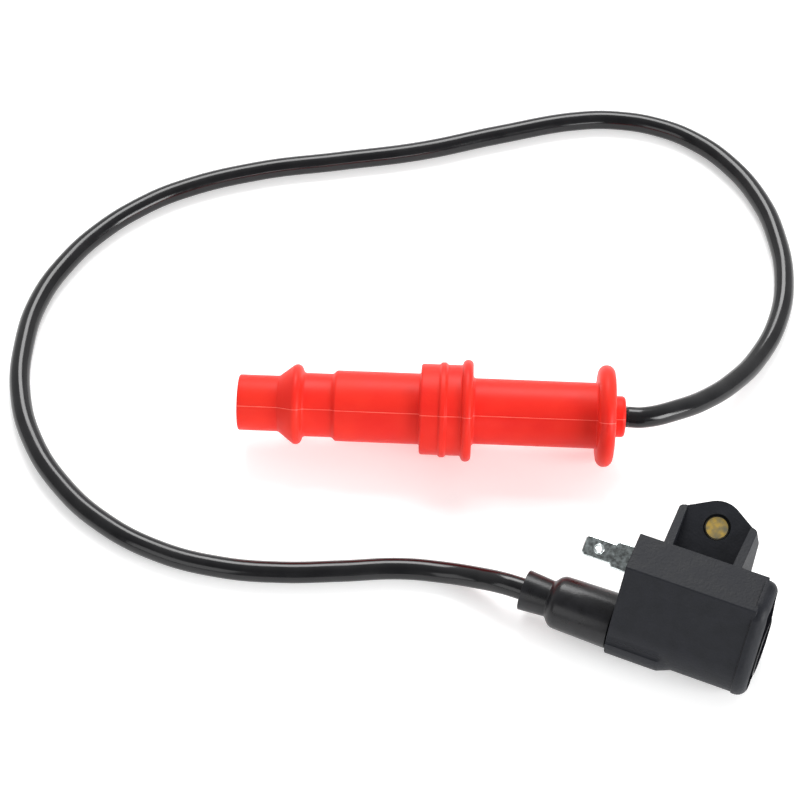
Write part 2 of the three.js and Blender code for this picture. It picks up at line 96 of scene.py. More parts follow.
# The lead's way over the table, in millimetres, from the cap to the boot's hub.
lead_points = [
    (-57, -10.2, 9.5),
    (-66, -9.6, 6.4),
    (-76, -10.2, 4),
    (-90, -14.2, 3.6),
    (-107, -22.4, 3.6),
    (-124.5, -30.3, 3.6),
    (-143, -36, 3.6),
    (-164, -38.2, 3.6),
    (-186, -35, 3.6),
    (-205, -27.2, 3.6),
    (-222, -15.2, 3.6),
    (-235.5, 0.5, 3.6),
    (-245, 20, 3.6),
    (-250, 40, 3.6),
    (-249.5, 60, 3.6),
    (-245.5, 76.7, 3.6),
    (-238, 93, 3.6),
    (-228.5, 106.3, 3.6),
    (-206, 126.5, 3.6),
    (-181, 142.5, 3.6),
    (-155.5, 159, 3.6),
    (-131.5, 178.5, 3.6),
    (-106.5, 197, 3.6),
    (-92.5, 203, 3.6),
    (-77.5, 205.3, 3.6),
    (-64, 203.7, 3.6),
    (-49, 197.5, 3.6),
    (-32.5, 184.3, 3.6),
    (-20.8, 168, 3.6),
    (-13, 150.5, 3.6),
    (-9.6, 132, 3.6),
    (-11, 112, 4.6),
    (-15, 96.5, 7.6),
    (-20.7, 83, 11.2),
    (-27.2, 72.8, 14.4),
]


def new_material(name, roughness, metallic=0.0, coat=0.0):
    material = bpy.data.materials.new(name)
    material.use_nodes = True
    shader = material.node_tree.nodes["Principled BSDF"]
    shader.inputs["Roughness"].default_value = roughness
    shader.inputs["Metallic"].default_value = metallic
    shader.inputs["Coat Weight"].default_value = coat
    return material, material.node_tree, shader


def node(tree, kind, **settings):
    made = tree.nodes.new(kind)
    for key, value in settings.items():
        setattr(made, key, value)
    return made


def build_group(name, inputs, outputs):
    """A shader node group with its named sockets: each is (name, type, default)."""
    group = bpy.data.node_groups.new(name, "ShaderNodeTree")
    for label, kind, default in inputs:
        socket = group.interface.new_socket(label, in_out="INPUT", socket_type=kind)
        if default is not None:
            socket.default_value = default
    for label, kind in outputs:
        group.interface.new_socket(label, in_out="OUTPUT", socket_type=kind)
    start = group.nodes.new("NodeGroupInput")
    end = group.nodes.new("NodeGroupOutput")
    return group, start.outputs, end.inputs


def surface_mottle():
    """Two colours in soft patches, with grain in the height and a varying roughness."""
    group, given, made = build_group(
        "surface_mottle",
        [
            ("Light", "NodeSocketColor", (1, 1, 1, 1)),
            ("Dark", "NodeSocketColor", (0, 0, 0, 1)),
            ("Patch Scale", "NodeSocketFloat", 150.0),
            ("Grain Scale", "NodeSocketFloat", 2500.0),
            ("Smooth", "NodeSocketFloat", 0.3),
            ("Rough", "NodeSocketFloat", 0.5),
        ],
        [
            ("Color", "NodeSocketColor"),
            ("Roughness", "NodeSocketFloat"),
            ("Height", "NodeSocketFloat"),
        ],
    )
    tree = group
    place = node(tree, "ShaderNodeTexCoord")
    patches = node(tree, "ShaderNodeTexNoise")
    patches.inputs["Detail"].default_value = 5
    grain = node(tree, "ShaderNodeTexNoise")
    grain.inputs["Detail"].default_value = 3
    tree.links.new(place.outputs["Object"], patches.inputs["Vector"])
    tree.links.new(place.outputs["Object"], grain.inputs["Vector"])
    tree.links.new(given["Patch Scale"], patches.inputs["Scale"])
    tree.links.new(given["Grain Scale"], grain.inputs["Scale"])
    spread = node(tree, "ShaderNodeMapRange")
    spread.inputs["From Min"].default_value = 0.35
    spread.inputs["From Max"].default_value = 0.65
    tree.links.new(patches.outputs["Fac"], spread.inputs["Value"])
    blend = node(tree, "ShaderNodeMix", data_type="RGBA")
    tree.links.new(spread.outputs["Result"], blend.inputs["Factor"])
    tree.links.new(given["Dark"], blend.inputs["A"])
    tree.links.new(given["Light"], blend.inputs["B"])
    rough = node(tree, "ShaderNodeMix", data_type="FLOAT")
    tree.links.new(spread.outputs["Result"], rough.inputs["Factor"])
    tree.links.new(given["Smooth"], rough.inputs["A"])
    tree.links.new(given["Rough"], rough.inputs["B"])
    tree.links.new(blend.outputs["Result"], made["Color"])
    tree.links.new(rough.outputs["Result"], made["Roughness"])
    tree.links.new(grain.outputs["Fac"], made["Height"])
    return group


mottle_group = surface_mottle()


def mottled(tree, shader, light, dark, patch, grain, smooth, rough, bump):
    """Puts the mottle group in a material: colours, scales, roughness range and relief."""
    mottle = node(tree, "ShaderNodeGroup", node_tree=mottle_group)
    mottle.inputs["Light"].default_value = (*light, 1)
    mottle.inputs["Dark"].default_value = (*dark, 1)
    mottle.inputs["Patch Scale"].default_value = patch
    mottle.inputs["Grain Scale"].default_value = grain
    mottle.inputs["Smooth"].default_value = smooth
    mottle.inputs["Rough"].default_value = rough
    tree.links.new(mottle.outputs["Color"], shader.inputs["Base Color"])
    tree.links.new(mottle.outputs["Roughness"], shader.inputs["Roughness"])
    relief = node(tree, "ShaderNodeBump")
    relief.inputs["Strength"].default_value = 1.0
    relief.inputs["Distance"].default_value = bump
    tree.links.new(mottle.outputs["Height"], relief.inputs["Height"])
    tree.links.new(relief.outputs["Normal"], shader.inputs["Normal"])


def lead_jacket():
    material, tree, shader = new_material("glossy_black_jacket", 0.25, coat=0.15)
    shader.inputs["Specular IOR Level"].default_value = 0.28
    shader.inputs["Coat Roughness"].default_value = 0.1
    mottled(
        tree,
        shader,
        light=(0.008, 0.008, 0.009),
        dark=(0.004, 0.004, 0.005),
        patch=120,
        grain=900,
        smooth=0.14,
        rough=0.22,
        bump=0.00001,
    )
    return material


jacket = lead_jacket()

lead_curve = bpy.data.curves.new("ignition_lead", "CURVE")
lead_curve.dimensions = "3D"
lead_curve.bevel_depth = lead_diameter / 2
lead_curve.bevel_resolution = 6
lead_curve.resolution_u = 10
lead_curve.use_fill_caps = True
route = [lead_exit - Vector((away, 0, 0)) for away in (end_gap, exit_knot)]
route += [Vector(point) * MM for point in lead_points]
route += [hub_end + boot_direction * away for away in (entry_knot, end_gap)]
spline = lead_curve.splines.new("BEZIER")
spline.bezier_points.add(len(route) - 1)
for knot, place in zip(spline.bezier_points, route):
    knot.co = place
    knot.handle_left_type = "AUTO"
    knot.handle_right_type = "AUTO"
lead_curve.materials.append(jacket)
lead = bpy.data.objects.new("ignition_lead", lead_curve)
bpy.context.collection.objects.link(lead)
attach(lead, "root")
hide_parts("high_tension_lead")

# ---------------------------------------------------------------- spark plug boot
# One long moulding of red silicone rubber with a retaining barb, a ringed collar, a grip flange
# and a small hub that the lead enters. It is cast in two mould halves that leave a fine line.

boot_steps = 96
mould_line_proud = 0.15
mould_line_deep = 0.5
mould_line_half = 0.11
mould_line_tilt = math.radians(44)

# Corners of the outline as (along, radius, rounding), from the open end to the hub.
boot_corners = [
    (1.1, 6.3, 0),
    (1.1, 9.15, 0.6),
    (14.3, 9.15, 1.3),
    (21.04, 14.4, 1.9),
    (22.45, 10.45, 1.1),
    (31.95, 10.45, 1.2),
    (33.1, 11.63, 1.2),
    (60.65, 11.65, 0.6),
    (60.75, 14.9, 0.8),
    (66.8, 14.9, 0.6),
    (67.35, 15.6, 0.6),
    (68.85, 15.6, 0.6),
    (69.4, 14.9, 0.6),
    (74.25, 14.9, 0.6),
    (74.4, 16.7, 1.5),
    (77.65, 16.7, 1.6),
    (77.8, 10.8, 0.9),
    (118.4, 10.8, 0.7),
    (118.4, 16.7, 2.7),
    (123.9, 16.7, 2.75),
    (124.0, 6.75, 0.55),
    (127.6, 6.75, 1.2),
    (127.6, 3.9, 0),
]
boot_bore = [(84.3, 3.9), (84.3, 5.6), (28, 5.6), (28, 6.3)]


def softened(corners, steps=5):
    """An outline of (along, radius) points, with an arc at each corner that has a rounding."""
    outline = []
    for i, (along, radius, rounding) in enumerate(corners):
        corner = Vector((along, radius))
        if not rounding:
            outline.append(tuple(corner))
            continue
        back = (Vector(corners[i - 1][:2]) - corner).normalized()
        ahead = (Vector(corners[i + 1][:2]) - corner).normalized()
        half = back.angle(ahead) / 2
        centre = corner + (back + ahead).normalized() * rounding / math.sin(half)
        first = corner + back * rounding / math.tan(half) - centre
        last = corner + ahead * rounding / math.tan(half) - centre
        for step in range(steps + 1):
            outline.append(tuple(centre + first.slerp(last, step / steps) * rounding))
    return outline


def turned_mesh(profile, steps, closed=True):
    """Spins an outline of (along, radius) points about the X axis; closed joins its two ends."""
    bm = bmesh.new()
    verts = [bm.verts.new((along, 0, radius)) for along, radius in profile]
    edges = [bm.edges.new(pair) for pair in zip(verts, verts[1:])]
    if closed:
        edges.append(bm.edges.new((verts[-1], verts[0])))
    bmesh.ops.spin(
        bm,
        geom=verts + edges,
        cent=(0, 0, 0),
        axis=(1, 0, 0),
        angle=2 * math.pi,
        steps=steps,
        use_merge=True,
    )
    bmesh.ops.remove_doubles(bm, verts=bm.verts, dist=0.0005)
    bmesh.ops.recalc_face_normals(bm, faces=bm.faces)
    return bm


def new_piece(name, bm, material, smooth_angle=40):
    """Turns a mesh in millimetres into a piece in metres, riding on the coil's one body."""
    bmesh.ops.scale(bm, vec=(MM, MM, MM), verts=bm.verts)
    bmesh.ops.recalc_face_normals(bm, faces=bm.faces)
    mesh = bpy.data.meshes.new(name)
    bm.to_mesh(mesh)
    bm.free()
    mesh.shade_smooth()
    mesh.set_sharp_from_angle(angle=math.radians(smooth_angle))
    mesh.materials.append(material)
    piece = bpy.data.objects.new(name, mesh)
    bpy.context.collection.objects.link(piece)
    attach(piece, "root")
    return piece


def red_silicone():
    material, tree, shader = new_material("red_silicone", 0.42)
    shader.inputs["Specular IOR Level"].default_value = 0.15
    shader.inputs["Subsurface Weight"].default_value = 0.12
    shader.inputs["Subsurface Radius"].default_value = (1.0, 0.2, 0.1)
    shader.inputs["Subsurface Scale"].default_value = 0.002
    mottled(
        tree,
        shader,
        light=(0.77, 0.029, 0.016),
        dark=(0.71, 0.019, 0.013),
        patch=60,
        grain=1800,
        smooth=0.36,
        rough=0.46,
        bump=0.00002,
    )
    return material


def mould_flash():
    material, tree, shader = new_material("thin_silicone_flash", 0.5)
    mottled(
        tree,
        shader,
        light=(0.95, 0.13, 0.09),
        dark=(0.88, 0.08, 0.06),
        patch=300,
        grain=1800,
        smooth=0.4,
        rough=0.5,
        bump=0.00002,
    )
    return material


silicone = red_silicone()
flash = mould_flash()
boot_place = Matrix.Translation(boot_mouth / MM) @ Matrix.Rotation(boot_turn, 4, "Z")

boot_outline = softened(boot_corners)
boot_bm = turned_mesh(boot_outline + boot_bore, boot_steps)
bmesh.ops.transform(boot_bm, matrix=boot_place, verts=boot_bm.verts)
boot = new_piece("spark_plug_boot", boot_bm, silicone, 60)
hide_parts("plug_boot")


def mould_line(side):
    """A thin strip that follows the boot's outline, standing just proud of it."""
    bm = bmesh.new()
    skin = boot_outline[2:-2]
    outside = [(along, radius + mould_line_proud) for along, radius in skin]
    inside = [(along, radius - mould_line_deep) for along, radius in reversed(skin)]
    verts = [bm.verts.new((along, 0, radius)) for along, radius in outside + inside]
    face = bm.faces.new(verts)
    bmesh.ops.translate(bm, vec=(0, -mould_line_half, 0), verts=bm.verts)
    grown = bmesh.ops.extrude_face_region(bm, geom=[face])
    moved = [item for item in grown["geom"] if isinstance(item, bmesh.types.BMVert)]
    bmesh.ops.translate(bm, vec=(0, 2 * mould_line_half, 0), verts=moved)
    tilt = math.pi / 2 - mould_line_tilt + (math.pi if side else 0)
    turn = boot_place @ Matrix.Rotation(tilt, 4, "X")
    bmesh.ops.transform(bm, matrix=turn, verts=bm.verts)
    return new_piece(f"boot_mould_line_{side + 1}", bm, flash, 30)


mould_lines = [mould_line(side) for side in (0, 1)]

# ---------------------------------------------------------------- tower's rubber cap
# A soft black rubber cap pushed over the plastic tower, with a narrower collar that grips the
# lead and keeps its first bend easy.

tower_axis = Vector((0, tower_y, tower_z))
cap_low, cap_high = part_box("tower_cap")
cap_mouth = cap_high[0] / MM
cap_tip = cap_low[0] / MM - 1.4  # the collar's soft end reaches a little over the lead
cap_bore = 6.7
cap_bore_depth = 17.0
lead_bore = 3.8

cap_corners = [
    (cap_tip, lead_bore, 0),
    (cap_tip, 6.44, 0.16),
    (cap_tip + 8.6, 5.77, 0.9),
    (cap_tip + 10.65, 8.38, 3.4),
    (cap_mouth, 8.83, 0.45),
    (cap_mouth, cap_bore, 0),
    (cap_mouth - cap_bore_depth, cap_bore, 0),
    (cap_mouth - cap_bore_depth, lead_bore, 0),
]


def cap_rubber():
    material, tree, shader = new_material("glossy_black_rubber", 0.3)
    shader.inputs["Specular IOR Level"].default_value = 0.3
    mottled(
        tree,
        shader,
        light=(0.010, 0.010, 0.012),
        dark=(0.005, 0.005, 0.006),
        patch=260,
        grain=1500,
        smooth=0.27,
        rough=0.32,
        bump=0.00003,
    )
    return material


rubber = cap_rubber()
cap_bm = turned_mesh(softened(cap_corners), 72)
bmesh.ops.translate(cap_bm, vec=tower_axis, verts=cap_bm.verts)
cap = new_piece("tower_rubber_cap", cap_bm, rubber, 50)
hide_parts("tower_cap")

# ---------------------------------------------------------------- case
# The coil's black case, moulded in glass-filled plastic in one piece: the body with its sloped
# front, the tower and its fairing, the ear with its two ribs, and the rim round the mouth.

case_left = -20.0
edge_round = 0.3
plate_round = 0.4
rim_back = 19.9
rim_face = 24.4
rim_proud = 0.4
rim_corner = 3.8
rim_round = 3.3
mouth_wall = 2.0
mouth_depth = 4.0
mouth_corner = 1.5
case_top = 35.0
back_y = 7.07
crease_y = -6.43
front_round = 12.1
front_slope = math.radians(56.5)
front_steps = 40
tower_radius = 6.4
tower_length = 17.0
ear_x = 0.45
ear_tilt = math.radians(24)
ear_root_z = 27.4
ear_root = -5.0  # the plate starts this far inside the case
ear_plate = 3.4
ear_hole = 13.75
ear_arc = 8.3
plate_setback = 0.06  # from the ribs' outer walls
# Each rib's outer edge: X at the root, X and reach at the corner, and how its wall leans out.
rib_edges = {
    1: (12.0, 12.6, 15.9, math.radians(14)),
    -1: (-12.5, -12.3, 16.3, math.radians(2)),
}
rib_root_width = 2.9
rib_corner_width = 2.4
rib_corner_round = 0.9
rib_foot = 24.0
gable_rise = 1.0  # over a rib's width
tuck = 0.03  # keeps two joined faces from lying in one plane
# Behind the ear: depths are measured from its front face along the hole.
window_radius = 4.2
window_floor = -1.9
neck_radius = 3.9
socket_radius = 4.9
socket_floor = -3.0
boss_radius = 7.5
boss_back = -10.0
web_half = 4.6
web_back = -6.0
channel_place = (0, -20.6, 13.3)
channel_radius = 1.5


def prism(points, start, end, place=None):
    """A flat outline in local X-Y pushed from start to end along local Z."""
    bm = bmesh.new()
    verts = [bm.verts.new((x, y, start)) for x, y in points]
    face = bm.faces.new(verts)
    grown = bmesh.ops.extrude_face_region(bm, geom=[face])
    moved = [item for item in grown["geom"] if isinstance(item, bmesh.types.BMVert)]
    bmesh.ops.translate(bm, vec=(0, 0, end - start), verts=moved)
    if place is not None:
        bmesh.ops.transform(bm, matrix=place, verts=bm.verts)
    bmesh.ops.recalc_face_normals(bm, faces=bm.faces)
    return bm


def edges_near(bm, test):
    """Edges whose two ends both pass the test."""
    return [edge for edge in bm.edges if all(test(vert.co) for vert in edge.verts)]


def rounded(bm, edges, radius, segments):
    bmesh.ops.bevel(
        bm,
        geom=edges,
        offset=radius,
        offset_type="OFFSET",
        segments=segments,
        profile=0.5,
        affect="EDGES",
        material=-1,
        clamp_overlap=True,
    )


def loose_object(name, bm):
    mesh = bpy.data.meshes.new(name)
    bm.to_mesh(mesh)
    bm.free()
    made = bpy.data.objects.new(name, mesh)
    bpy.context.collection.objects.link(made)
    return made


def combined(base, joined=(), cut_away=()):
    """Joins and then cuts solids one after another and gives back one mesh, in millimetres."""
    for operation, others in (("UNION", joined), ("DIFFERENCE", cut_away)):
        for other in others:
            step = base.modifiers.new("step", "BOOLEAN")
            step.operation = operation
            step.solver = "EXACT"
            step.object = other
    seen = base.evaluated_get(bpy.context.evaluated_depsgraph_get())
    bm = bmesh.new()
    bm.from_mesh(seen.to_mesh())
    for made in (base, *joined, *cut_away):
        bpy.data.objects.remove(made)
    return bm


# Turns an outline's local X, Y and Z into the case's Y, Z and X.
along_case = Matrix(((0, 0, 1, 0), (1, 0, 0, 0), (0, 1, 0, 0), (0, 0, 0, 1)))


def section_points(inset):
    """The case's section, moved in by inset: flat base and back, sloped front, round below."""
    middle_y = -back_y
    top = case_top - inset
    top_y = crease_y - inset / math.tan(front_slope) + inset / math.sin(front_slope)
    points = [(back_y - inset, inset), (back_y - inset, top), (top_y, top)]
    for i in range(front_steps + 1):
        angle = front_slope + math.pi / 2 + (math.pi - front_slope) * i / front_steps
        y = middle_y + (front_round - inset) * math.cos(angle)
        points.append((y, front_round + (front_round - inset) * math.sin(angle)))
    return [(y, max(z, 0)) for y, z in points]


def section_solid(inset, start, end, corner=0, edge=0, far_edge=None):
    """The section pushed from start to end, with rounded long corners and end edges."""
    bm = prism(section_points(inset), start, end, along_case)
    bmesh.ops.remove_doubles(bm, verts=bm.verts, dist=0.001)
    if corner:
        found = []
        for y, z in section_points(inset)[:3]:
            found += edges_near(bm, lambda co: abs(co.y - y) < 0.01 and abs(co.z - z) < 0.01)
        rounded(bm, found, corner, 6)
    for x, radius in ((start, edge), (end, far_edge or edge)):
        if radius:
            rounded(bm, edges_near(bm, lambda co: abs(co.x - x) < 0.01), radius, 6)
    return bm


def onto_ear():
    """The place whose X-Y plane is the ear's front face, with Y up the ear from its root."""
    lean = Matrix.Rotation(ear_tilt, 4, "X")
    return Matrix.Translation((ear_x, back_y, ear_root_z)) @ lean


def ear_outline():
    """The ear's flat outline: two corners, and an arc round the hole that their lines touch."""
    ends = []
    for side, (_, corner_x, reach, _) in rib_edges.items():
        across = corner_x - ear_x
        up = reach - ear_hole
        opening = math.acos(ear_arc / math.hypot(across, up))
        ends.append(math.atan2(up, across) + side * opening)
    steps = 16
    arc = []
    for i in range(steps + 1):
        angle = ends[0] + (ends[1] - ends[0]) * i / steps
        arc.append((ear_arc * math.cos(angle), ear_hole + ear_arc * math.sin(angle)))
    walls = []
    for side, (root_x, corner_x, reach, _) in rib_edges.items():
        inset = ear_x + side * plate_setback
        walls.append([(root_x - inset, ear_root), (corner_x - inset, reach)])
    return walls[0] + arc + walls[1][::-1]


def ear_rib(side):
    """A rib from the case's top edge to the ear's corner, cut off at the plate's back."""
    root_x, corner_x, reach, lean = rib_edges[side]
    corner_y = back_y + reach * math.cos(ear_tilt)
    root_y = back_y - 2
    points = [
        (root_x, root_y),
        (corner_x, corner_y),
        (corner_x - side * rib_corner_width, corner_y + gable_rise),
        (root_x - side * rib_root_width, root_y),
    ]
    if side < 0:
        points.reverse()
    bm = prism(points, rib_foot, case_top - tuck)
    outer = abs(corner_x) - rib_corner_width / 2
    feet = [vert for vert in bm.verts if vert.co.z < rib_foot + 1 and side * vert.co.x > outer]
    draft = (case_top - rib_foot) * math.tan(lean)
    bmesh.ops.translate(bm, vec=(side * draft, 0, 0), verts=feet)
    cut_normal = Vector((0, -math.sin(ear_tilt), math.cos(ear_tilt)))
    cut_place = Vector((ear_x, back_y, ear_root_z)) - cut_normal * (ear_plate - tuck)
    halves = bmesh.ops.bisect_plane(
        bm,
        geom=bm.verts[:] + bm.edges[:] + bm.faces[:],
        plane_co=cut_place,
        plane_no=cut_normal,
        clear_inner=True,
    )
    cut_edges = [item for item in halves["geom_cut"] if isinstance(item, bmesh.types.BMEdge)]
    bmesh.ops.contextual_create(bm, geom=cut_edges)
    bmesh.ops.recalc_face_normals(bm, faces=bm.faces)
    posts = [
        edge
        for edge in edges_near(bm, lambda co: co.y > corner_y - 1)
        if abs((edge.verts[0].co - edge.verts[1].co).normalized().z) > 0.9
    ]
    rounded(bm, posts, rib_corner_round, 4)
    rounded(bm, bm.edges[:], edge_round, 3)
    return bm


def cylinder(radius, start, end, place, steps=64):
    profile = [(start, 0), (start, radius), (end, radius), (end, 0)]
    bm = turned_mesh(profile, steps, closed=False)
    bmesh.ops.transform(bm, matrix=place, verts=bm.verts)
    return bm


def fairing():
    """The round bulge along the case's lower front, in line with the tower."""
    corners = [
        (case_left, 0, 0),
        (case_left, 10, 0.2),
        (-3.45, 10, 3.2),
        (2.4, 7.67, 0.7),
        (2.4, 0, 0),
    ]
    bm = turned_mesh(softened(corners), 96, closed=False)
    bmesh.ops.translate(bm, vec=tower_axis, verts=bm.verts)
    return bm


def groove():
    """The shallow round channel along the fairing's top, which fades out at its far end."""
    profile = [
        (case_left - 1, 0),
        (case_left - 1, channel_radius),
        (-3.4, channel_radius),
        (-2.2, channel_radius * 0.8),
        (-1.2, 0),
    ]
    bm = turned_mesh(profile, 48, closed=False)
    bmesh.ops.translate(bm, vec=channel_place, verts=bm.verts)
    return bm


def case_plastic():
    material, tree, shader = new_material("grained_black_plastic", 0.5)
    shader.inputs["Specular IOR Level"].default_value = 0.22
    mottled(
        tree,
        shader,
        light=(0.010, 0.011, 0.015),
        dark=(0.007, 0.008, 0.011),
        patch=240,
        grain=1500,
        smooth=0.47,
        rough=0.53,
        bump=0.0001,
    )
    return material


plastic = case_plastic()
out_of_plane = Matrix.Rotation(-math.pi / 2, 4, "Y")
hole_axis = onto_ear() @ Matrix.Translation((0, ear_hole, 0)) @ out_of_plane

body = loose_object("body", section_solid(0, case_left, rim_back + 1, 0.35, edge_round))
rim_bm = section_solid(-rim_proud, rim_back, rim_face, rim_corner, rim_proud, rim_round)
rim = loose_object("rim", rim_bm)
mouth_bm = section_solid(mouth_wall, rim_face - mouth_depth, rim_face + 2, mouth_corner)
mouth = loose_object("mouth", mouth_bm)
plate_bm = prism(ear_outline(), -ear_plate, 0, onto_ear())
rounded(plate_bm, plate_bm.edges[:], plate_round, 3)
plate = loose_object("plate", plate_bm)
ribs = [loose_object("rib", ear_rib(side)) for side in (1, -1)]
boss = loose_object("boss", cylinder(boss_radius, boss_back, -0.5, hole_axis))
web_outline = [
    (-web_half, ear_root),
    (web_half, ear_root),
    (web_half, ear_hole),
    (-web_half, ear_hole),
]
web = loose_object("web", prism(web_outline, web_back, -1, onto_ear()))
window = loose_object("window", cylinder(window_radius, window_floor, 12, hole_axis))
neck_bm = cylinder(neck_radius, socket_floor - 0.2, window_floor + 0.2, hole_axis)
neck = loose_object("neck", neck_bm)
socket = loose_object("socket", cylinder(socket_radius, boss_back - 2, socket_floor, hole_axis))
under_tower = loose_object("fairing", fairing())
on_tower = Matrix.Translation(tower_axis)
tower_end = case_left - tower_length
tower = loose_object("tower", cylinder(tower_radius, tower_end, case_left + 1, on_tower))
bore_bm = cylinder(lead_bore, tower_end - 1, case_left - 1.5, on_tower)
bore = loose_object("bore", bore_bm)
channel = loose_object("groove", groove())
case_bm = combined(
    body,
    joined=[rim, plate, *ribs, boss, web, under_tower, tower],
    cut_away=[bore, mouth, window, neck, socket, channel],
)
case = new_piece("coil_case_moulding", case_bm, plastic, 32)
evened = case.modifiers.new("evened", "WEIGHTED_NORMAL")
evened.keep_sharp = True
evened.weight = 100
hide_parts("coil_case")

# ---------------------------------------------------------------- potting
# Black resin poured in at the case's mouth. It sets with a low glossy dome and keeps the print
# of the round casting lid as a fine ring.

plug_gap = 0.05
plug_back = 3.0
plug_sink = 0.7
plug_middle = Vector((0, -3.5, 16))
# The dome's steps from its edge inwards: how much each shrinks, and how far it rises.
dome_steps = ((0.97, 0.25), (0.94, 0.2), (0.85, 0.35), (0.75, 0.3), (0.6, 0.25), (0.4, 0.15))
ring_radius = 8.8
ring_thick = 0.32
ring_place = (24.6, -5, 16)


def potting_resin():
    material, tree, shader = new_material("glossy_resin", 0.2)
    shader.inputs["Specular IOR Level"].default_value = 0.0
    mottled(
        tree,
        shader,
        light=(0.004, 0.004, 0.005),
        dark=(0.002, 0.002, 0.003),
        patch=200,
        grain=700,
        smooth=0.16,
        rough=0.26,
        bump=0.00001,
    )
    return material


resin = potting_resin()
plug_bm = section_solid(
    mouth_wall + plug_gap, rim_face - plug_back, rim_face - plug_sink, mouth_corner - 0.1
)
face_x = max(vert.co.x for vert in plug_bm.verts)
front = [face for face in plug_bm.faces if abs(face.calc_center_median().x - face_x) < 0.01]
for shrink, rise in dome_steps:
    bmesh.ops.inset_region(plug_bm, faces=front, thickness=0.01)
    lifted = list({vert for face in front for vert in face.verts})
    about = Matrix.Translation(-plug_middle)
    bmesh.ops.scale(plug_bm, vec=(1, shrink, shrink), verts=lifted, space=about)
    bmesh.ops.translate(plug_bm, vec=(rise, 0, 0), verts=lifted)
potting = new_piece("potting_dome", plug_bm, resin, 50)
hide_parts("potting_plug")


def print_ring():
    """The fine raised ring that the casting lid leaves on the dome."""
    steps = 12
    outline = []
    for i in range(steps):
        angle = 2 * math.pi * i / steps
        around = ring_radius + ring_thick * math.sin(angle)
        outline.append((ring_thick * math.cos(angle), around))
    bm = turned_mesh(outline, 96)
    bmesh.ops.translate(bm, vec=ring_place, verts=bm.verts)
    return new_piece("potting_ring", bm, rubber, 60)


print_ring()

# ---------------------------------------------------------------- threaded insert
# A blind brass nut moulded into the ear's boss, narrower at its closed end. The closed face
# lies just under the round window, and the hole opens at the boss's back.

insert_face = -1.15
insert_edge = 0.4
insert_neck = 3.82
insert_step = -3.1
insert_body = 4.6
insert_back = -10.0
insert_core = 2.5
insert_lead_in = 0.4


def worn_brass():
    material, tree, shader = new_material("worn_brass", 0.35, metallic=0.85)
    mottled(
        tree,
        shader,
        light=(0.58, 0.40, 0.10),
        dark=(0.30, 0.27, 0.17),
        patch=450,
        grain=1600,
        smooth=0.3,
        rough=0.5,
        bump=0.00004,
    )
    return material


def rubbed_edge():
    material, tree, shader = new_material("rubbed_brass_edge", 0.18, metallic=1.0)
    mottled(
        tree,
        shader,
        light=(0.95, 0.90, 0.74),
        dark=(0.80, 0.70, 0.42),
        patch=500,
        grain=2000,
        smooth=0.14,
        rough=0.24,
        bump=0.00002,
    )
    return material


brass = worn_brass()
insert_outline = [
    (insert_face, 0),
    (insert_face, 3.35),
    (insert_face - 0.22, 3.74),
    (insert_face - insert_edge, insert_neck),
    (insert_step, insert_neck),
    (insert_step, insert_body),
    (insert_back + insert_lead_in, insert_body),
    (insert_back, insert_body - insert_lead_in),
    (insert_back, insert_core + insert_lead_in),
    (insert_back + insert_lead_in, insert_core),
    (-4.4, insert_core),
    (-3.4, 0),
]
insert_bm = turned_mesh(insert_outline, 64, closed=False)
edge_band = [
    face
    for face in insert_bm.faces
    if insert_face - insert_edge < face.calc_center_median().x < insert_face - 0.01
]
for face in edge_band:
    face.material_index = 1
bmesh.ops.transform(insert_bm, matrix=hole_axis, verts=insert_bm.verts)
insert = new_piece("brass_insert", insert_bm, brass, 15)
insert.data.materials.append(rubbed_edge())
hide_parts("threaded_insert")

# ---------------------------------------------------------------- blade terminal
# A stamped blade of zinc-plated sheet steel, wide at the root, with a dimpled locking hole. It
# is moulded into the case's left end, and the sheared edges stay bright.

blade_thick = 0.8
blade_wide = 4.2
blade_narrow = 3.15
blade_shoulder = -24.8
blade_taper = 0.8
blade_hole_radius = 0.9
blade_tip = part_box("spade_terminal")[0][0] / MM
blade_hole = blade_tip + 4.9
blade_corner = 0.9
blade_place = Matrix.Translation((0, -1.43, 32)) @ Matrix.Rotation(ear_tilt, 4, "X")


def zinc_plate():
    material, tree, shader = new_material("mottled_zinc", 0.35, metallic=0.9)
    mottled(
        tree,
        shader,
        light=(0.27, 0.30, 0.30),
        dark=(0.12, 0.13, 0.13),
        patch=900,
        grain=2200,
        smooth=0.3,
        rough=0.5,
        bump=0.00006,
    )
    return material


def sheared_zinc():
    material, tree, shader = new_material("sheared_zinc", 0.25, metallic=1.0)
    mottled(
        tree,
        shader,
        light=(0.82, 0.88, 0.88),
        dark=(0.5, 0.55, 0.55),
        patch=900,
        grain=2200,
        smooth=0.2,
        rough=0.3,
        bump=0.00003,
    )
    return material


zinc = zinc_plate()
bright_zinc = sheared_zinc()


def blade():
    outline = [
        (case_left + 2, -blade_wide),
        (case_left + 2, blade_wide),
        (blade_shoulder, blade_wide),
        (blade_shoulder - blade_taper, blade_narrow),
        (blade_tip + blade_corner, blade_narrow),
        (blade_tip, blade_narrow - blade_corner),
        (blade_tip, blade_corner - blade_narrow),
        (blade_tip + blade_corner, -blade_narrow),
        (blade_shoulder - blade_taper, -blade_narrow),
        (blade_shoulder, -blade_wide),
    ]
    return prism(outline, -blade_thick / 2, blade_thick / 2)


